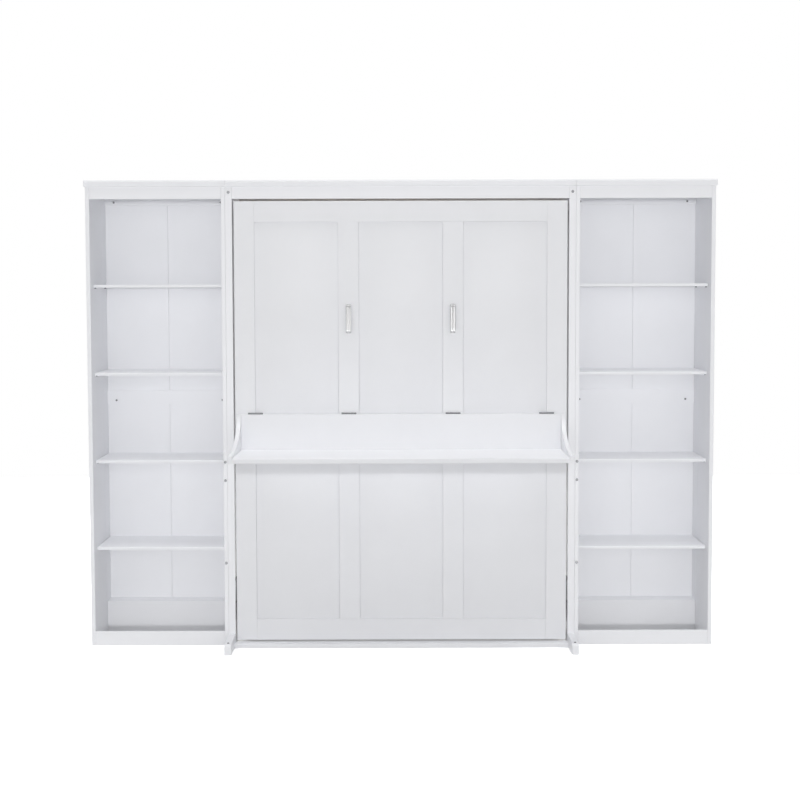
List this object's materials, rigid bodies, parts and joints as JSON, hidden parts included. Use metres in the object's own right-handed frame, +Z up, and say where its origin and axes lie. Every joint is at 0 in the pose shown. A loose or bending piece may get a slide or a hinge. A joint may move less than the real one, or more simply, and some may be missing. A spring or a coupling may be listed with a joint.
{
  "type": "wall bed",
  "caption": "Queen-size wall bed that folds down out of a cabinet, with a desk hinged to its panelled face that stays level, between open bookcases.",
  "frame": {"origin": "on the floor, at the middle of the object's width and of its whole depth, desk included", "axes": "+Z up, -Y to the front, +X to the right seen from the front"},
  "size_m": [2.98, 0.8998, 2.214],
  "materials": {
    "white_paint": "satin white paint over board",
    "slat_wood": "bare sanded pine",
    "satin_steel": "satin",
    "black_paint": "semi-gloss black paint"
  },
  "bodies": {
    "cabinet": {"left_side_panel": "white_paint", "right_side_panel": "white_paint", "centre_top_board": "white_paint", "centre_top_fascia": "white_paint", "centre_back_top_rail": "white_paint", "centre_back_bottom_rail": "white_paint", "centre_bottom_stretcher": "white_paint", "left_foot": "white_paint", "right_foot": "white_paint", "left_pivot_plate": "satin_steel", "right_pivot_plate": "satin_steel", "left_bookcase_inner_side": "white_paint", "left_bookcase_outer_side": "white_paint", "left_bookcase_top_board": "white_paint", "left_bookcase_top_fascia": "white_paint", "left_bookcase_plinth": "white_paint", "left_bookcase_back": "white_paint", "left_bookcase_ledge": "white_paint", "left_bookcase_shelf_1": "white_paint", "left_bookcase_shelf_2": "white_paint", "left_bookcase_shelf_3": "white_paint", "left_bookcase_shelf_4": "white_paint", "right_bookcase_inner_side": "white_paint", "right_bookcase_outer_side": "white_paint", "right_bookcase_top_board": "white_paint", "right_bookcase_top_fascia": "white_paint", "right_bookcase_plinth": "white_paint", "right_bookcase_back": "white_paint", "right_bookcase_ledge": "white_paint", "right_bookcase_shelf_1": "white_paint", "right_bookcase_shelf_2": "white_paint", "right_bookcase_shelf_3": "white_paint", "right_bookcase_shelf_4": "white_paint"},
    "bed": {"face_sheet": "white_paint", "top_rail": "white_paint", "bottom_rail": "white_paint", "middle_rail": "white_paint", "bed_head_rail": "white_paint", "bed_foot_rail": "white_paint", "slat_deck": "slat_wood", "left_outer_stile": "white_paint", "left_inner_stile": "white_paint", "left_bed_side_rail": "white_paint", "left_handle": "satin_steel", "right_outer_stile": "white_paint", "right_inner_stile": "white_paint", "right_bed_side_rail": "white_paint", "right_handle": "satin_steel"},
    "desk": {"desk_board": "white_paint", "desk_back_board": "white_paint", "left_desk_cheek": "white_paint", "right_desk_cheek": "white_paint", "desk_hinge_1": "satin_steel", "desk_hinge_2": "satin_steel", "desk_hinge_3": "satin_steel", "desk_hinge_4": "satin_steel"},
    "left_tube": {"left_strut_tube": "black_paint"},
    "left_rod": {"left_strut_rod": "satin_steel"},
    "right_tube": {"right_strut_tube": "black_paint"},
    "right_rod": {"right_strut_rod": "satin_steel"}
  },
  "joints": [
    {"name": "bed_fold", "type": "hinge", "parent": "cabinet", "child": "bed", "pos_m": [0, 0.085, 0.263], "axis": [1, 0, 0], "range_deg": [0, 90], "stiffness_Nm_per_rad": 290, "springref_deg": -31.8},
    {"name": "desk_fold", "type": "hinge", "parent": "bed", "child": "desk", "pos_m": [0, 0.0155, 1.114], "axis": [1, 0, 0], "range_deg": [-90, 0]},
    {"name": "left_strut_swing", "type": "hinge", "parent": "cabinet", "child": "left_tube", "pos_m": [-0.778, 0.335, 0.763], "axis": [1, 0, 0], "range_deg": [0, 9.8]},
    {"name": "left_strut_slide", "type": "slide", "parent": "left_tube", "child": "left_rod", "axis": [0, 0.359, 0.9333], "range_m": [0, 0.188]},
    {"name": "right_strut_swing", "type": "hinge", "parent": "cabinet", "child": "right_tube", "pos_m": [0.778, 0.335, 0.763], "axis": [1, 0, 0], "range_deg": [0, 9.8]},
    {"name": "right_strut_slide", "type": "slide", "parent": "right_tube", "child": "right_rod", "axis": [0, 0.359, 0.9333], "range_m": [0, 0.188]}
  ],
  "couplings": [
    {"joint": "desk_fold", "follows": "bed_fold", "ratio": -1},
    {"joint": "left_strut_swing", "follows": "bed_fold", "ratio": 0.10808},
    {"joint": "left_strut_slide", "follows": "bed_fold", "m_per_rad": 0.11874},
    {"joint": "right_strut_swing", "follows": "bed_fold", "ratio": 0.10808},
    {"joint": "right_strut_slide", "follows": "bed_fold", "m_per_rad": 0.11874}
  ]
}
